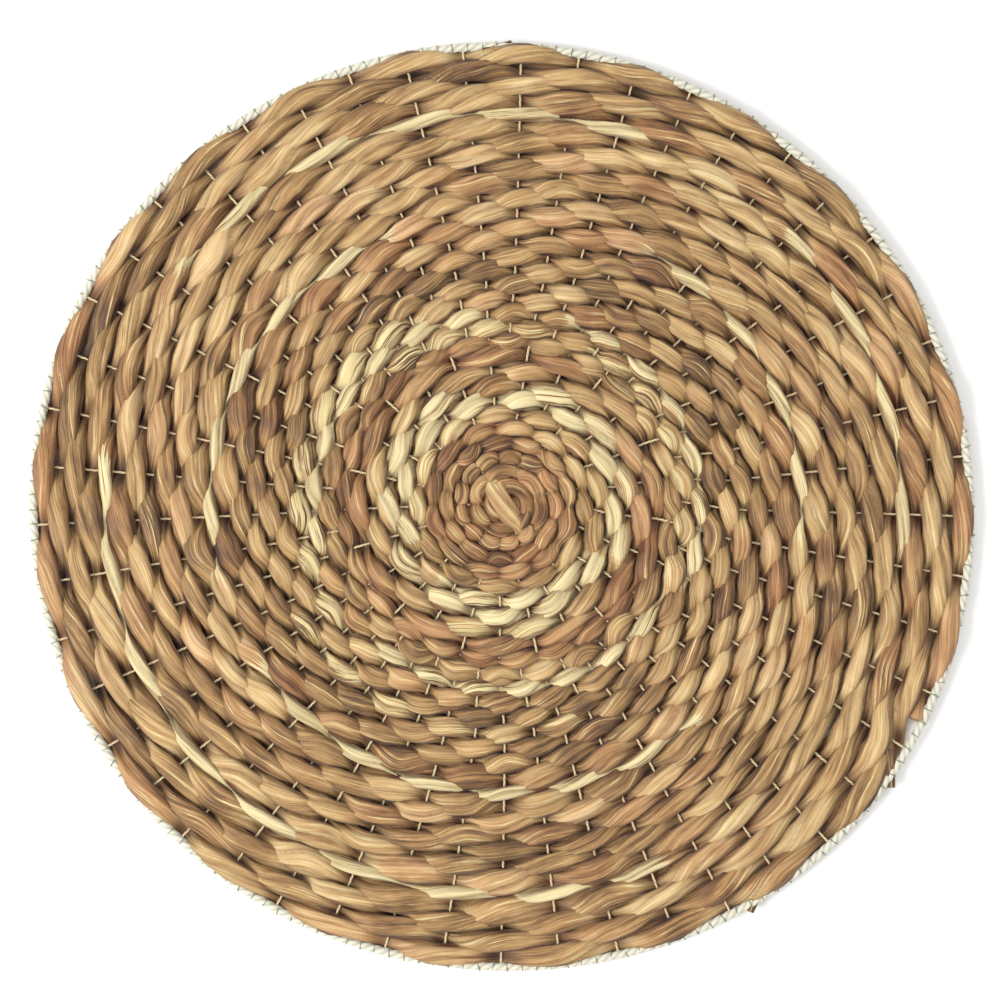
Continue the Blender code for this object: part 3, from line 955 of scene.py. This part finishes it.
def binding_tree():
    """Lays thread wraps round the rim: small rings square to the cord, a little uneven."""
    tree, add, given, out = new_tree("Rim binding", (
        ("Wraps", "NodeSocketInt"),
        ("Wrap radius", "NodeSocketFloat"),
        ("Thread radius", "NodeSocketFloat"),
        ("Unevenness", "NodeSocketFloat"),
        ("Seed", "NodeSocketInt"),
        ("Material", "NodeSocketMaterial"),
    ))
    line = add("GeometryNodeMeshToCurve", None, {"Mesh": given["Geometry"]})
    spaced = add("GeometryNodeResampleCurve", None, {"Curve": line, "Count": given["Wraps"]})
    ring = add("GeometryNodeCurvePrimitiveCircle", None, {"Resolution": 12, "Radius": given["Wrap radius"]})
    thread = add("GeometryNodeCurvePrimitiveCircle", None,
                 {"Resolution": 4, "Radius": given["Thread radius"]})
    wrap = add("GeometryNodeCurveToMesh", None, {"Curve": ring, "Profile Curve": thread})
    heading = add("GeometryNodeInputTangent")
    lean = add("FunctionNodeRandomValue", VECTOR,
               {0: (-0.3, -0.3, -0.08), 1: (0.3, 0.3, 0.08), "Seed": given["Seed"]})
    leaning = add(VECTOR_MATH, ADD, {0: heading, 1: lean})
    turned = add("FunctionNodeAlignRotationToVector", {"axis": "Z"}, {"Vector": leaning})
    slack = add("FunctionNodeRandomValue", {"data_type": "FLOAT"},
                {2: 0.96, 3: 1.06, "Seed": given["Seed"]}).outputs[1]
    shift = add("FunctionNodeRandomValue", VECTOR,
                {0: (-1.0, -1.0, -0.15), 1: (1.0, 1.0, 0.15), "Seed": given["Seed"]})
    shifted = add(VECTOR_MATH, SCALE, {0: shift, "Scale": given["Unevenness"]})
    moved = add("GeometryNodeSetPosition", None, {"Geometry": spaced, "Offset": shifted})
    laid = add("GeometryNodeInstanceOnPoints", None,
               {"Points": moved, "Instance": wrap, "Rotation": turned, "Scale": slack})
    return end_tree(tree, add, laid, given, out)


def make_binding(material):
    """Thread wrapped round the edge cord at even steps."""
    inputs = {"Wraps": WRAPS, "Wrap radius": WRAP_RADIUS, "Thread radius": THREAD_RADIUS,
              "Unevenness": WRAP_UNEVENNESS, "Seed": SEED, "Material": material}
    make_piece(binding_tree(), inputs, "rim_binding", rim_path(720), {}, [],
               closed=True)


# ---------------------------------------------------------------- the centre

def free_values(points, half_width, half_height, tone, blush, pale):
    """Sweep values for a free piece of stalk: half sizes are arrays, the rest single numbers."""
    values = twine_values(points)
    ones = np.ones(len(points))
    face = np.stack([half_width, 0.0 * ones, 0.0 * ones], axis=-1)
    values.update({
        "upper_face": face, "lower_face": face, "half_height": half_height,
        "roll": TWIST_RATE * values["along"], "pale": pale * ones, "pale_side": math.pi / 2.0 * ones,
        "tone": tone * ones, "blush": blush * ones,
    })
    return values


# Cut ends of stalk left at the rim: angle round the pad in degrees, how far they
# stand out past the last row, and how steeply they turn out from it
RIM_ENDS = (
    (-35.5, 0.0045, 0.75),
    (-58.0, 0.0042, 0.70),
    (88.0, 0.0026, 0.30),
)


def make_rim_ends(tree, stalk):
    """Short cut ends of stalk that stand out at the rim."""
    for number, (angle, stand, steepness) in enumerate(RIM_ENDS, start=1):
        share = (SEAM_ANGLE - math.radians(angle)) / (2.0 * math.pi) % 1.0
        radius = float(rim_offset_radius(share, stand))
        along = np.linspace(0.0, 1.0, 24)
        shares = share - (1.0 - along) * RIM_END_LENGTH / (2.0 * math.pi * radius)
        radii = radius - (1.0 - along) * RIM_END_LENGTH * steepness
        points = polar(shares, radii, MID_HEIGHT + 0.0012 * (1.0 - along))
        ones = np.ones(len(points))
        values = free_values(points, 0.0019 * ones, 0.0011 * ones, 0.15, 0.3, 0.0)
        make_piece(tree, stalk_inputs(stalk), f"stalk_end_{number}", points, values, [])


def make_centre(tree, stalk):
    """The wound start of the spiral and the free end laid across it."""
    turns = np.linspace(-COIL_TURNS, 0.0, 150)
    radius = np.maximum(row_radius(turns), 0.0022)
    lift = 0.0010 * np.cos(2.0 * math.pi * turns * 3.0)
    points = polar(turns, radius, MID_HEIGHT - 0.0006 + lift)
    tip = 0.45 + 0.55 * smooth_step((turns + COIL_TURNS) / 0.3)
    values = free_values(points, 0.0036 * tip, 0.0031 * tip, 0.36, 0.6, 0.0)
    make_piece(tree, stalk_inputs(stalk), "centre_coil", points, values,
               ["centre_knot"])
    along = np.linspace(0.0, 1.0, 60)
    middle = polar(0.0, 0.0, 0.0)
    x = middle[0] - 0.0058 + 0.0135 * along - 0.0014 * np.sin(math.pi * along)
    y = middle[1] + 0.0100 - 0.0215 * along
    arch = np.sin(math.pi * along) ** 0.6
    points = np.stack([x, y, 0.0052 + 0.0026 * arch], axis=-1)
    taper = 0.5 + 0.5 * smooth_step(along / 0.15) * smooth_step((1.0 - along) / 0.35)
    values = free_values(points, 0.0044 * taper, 0.0015 * taper, 0.60, 0.25, 0.0)
    values["pale"] = 0.40 * (1.0 - smooth_step(along / 0.35))
    make_piece(tree, stalk_inputs(stalk), "centre_strand", points, values,
               ["centre_tail"])


# ---------------------------------------------------------------- the setting

def make_floor():
    """A plain pale floor, wide enough for every view."""
    mesh = bpy.data.meshes.new("floor")
    corners = ((-1, -1), (1, -1), (1, 1), (-1, 1))
    mesh.from_pydata([(x * FLOOR_REACH, y * FLOOR_REACH, FLOOR_LEVEL) for x, y in corners],
                     [], [(0, 1, 2, 3)])
    floor = bpy.data.objects.new("floor", mesh)
    bpy.context.scene.collection.objects.link(floor)
    material, tree, add, shader = new_material("matt white paper")
    where = add("ShaderNodeTexCoord").outputs["Object"]
    tooth = add(NOISE, None, {"Vector": where, "Scale": 900.0})
    colour = add(MIX, COLOUR,
                 {"Factor": tooth, FIRST: linear("#F6F6F4"), SECOND: linear("#FBFBFA")}).outputs[MIXED]
    tree.links.new(colour, shader.inputs["Base Color"])
    shader.inputs["Roughness"].default_value = 0.9
    mesh.materials.append(material)


def add_lamp(name, place, size, power, warmth):
    """A square soft light aimed at the pad."""
    data = bpy.data.lights.new(name, "AREA")
    data.shape = "SQUARE"
    data.size = size
    data.energy = power
    data.color = warmth
    lamp = bpy.data.objects.new(name, data)
    lamp.location = place
    lamp.rotation_euler = (-Vector(place)).to_track_quat("-Z", "Y").to_euler()
    bpy.context.scene.collection.objects.link(lamp)


def make_light():
    """Soft key light from the left, a weak fill, and an even pale sky."""
    add_lamp("key", (-1.5, -0.45, 1.45), 0.9, 40.0, (1.0, 0.985, 0.96))
    add_lamp("fill", (1.3, 1.2, 1.7), 1.6, 10.0, (0.97, 0.985, 1.0))
    world = bpy.data.worlds.new("pale sky")
    world.use_nodes = True
    world.node_tree.nodes["Background"].inputs["Color"].default_value = (1.0, 1.0, 1.0, 1.0)
    world.node_tree.nodes["Background"].inputs["Strength"].default_value = 0.86
    bpy.context.scene.world = world
    bpy.context.scene.view_settings.view_transform = "Standard"


def make_camera():
    """Straight down, with the pad a little inside the frame."""
    data = bpy.data.cameras.new("camera")
    data.lens = LENS
    data.sensor_width = SENSOR
    camera = bpy.data.objects.new("camera", data)
    camera.location = (0.0002, 0.0010, WIDTH_SEEN * LENS / SENSOR + MID_HEIGHT)
    bpy.context.scene.collection.objects.link(camera)
    bpy.context.scene.camera = camera


def main():
    """Dress the part, then set it under its light and camera."""
    # Satin tan stalk, streaked along its fibres from brown to straw
    stalk = stalk_material("dried water hyacinth stalk",
                           ("#57402A", "#8C6A41", "#AD8A59", "#C4A471", "#D6BD8C"), "#D8C792")
    # The same with its cream inner skin showing, for the broken pale rings
    pale_stalk = stalk_material("dried water hyacinth stalk, pale",
                                ("#6E4D2A", "#9C7848", "#B89765", "#CBAF7C", "#DEC996"), "#DECF9F")
    # Matt straw-brown string, which the weave all but hides
    twine = twine_material("unbleached twine", "#D8C59C", "#8E7146", 0.75)
    # Matt off-white rim, softly grooved
    cord = twine_material("bleached cotton cord", "#D2CFBF", "#9F9C88", 0.85)
    # Small dull stitches over the rim, coloured grey-green as painted shade for the shadow between pale wraps
    thread = twine_material("binding thread, painted grey-green shade", "#A9AE99", "#79806B", 0.7)
    sweep = stalk_tree()
    make_weft(sweep, stalk, pale_stalk)
    make_centre(sweep, stalk)
    make_rim_ends(sweep, stalk)
    twist = twine_tree()
    make_strings(twist, twine)
    make_edge_cord(twist, cord)
    make_binding(thread)
    make_floor()
    make_light()
    make_camera()


main()
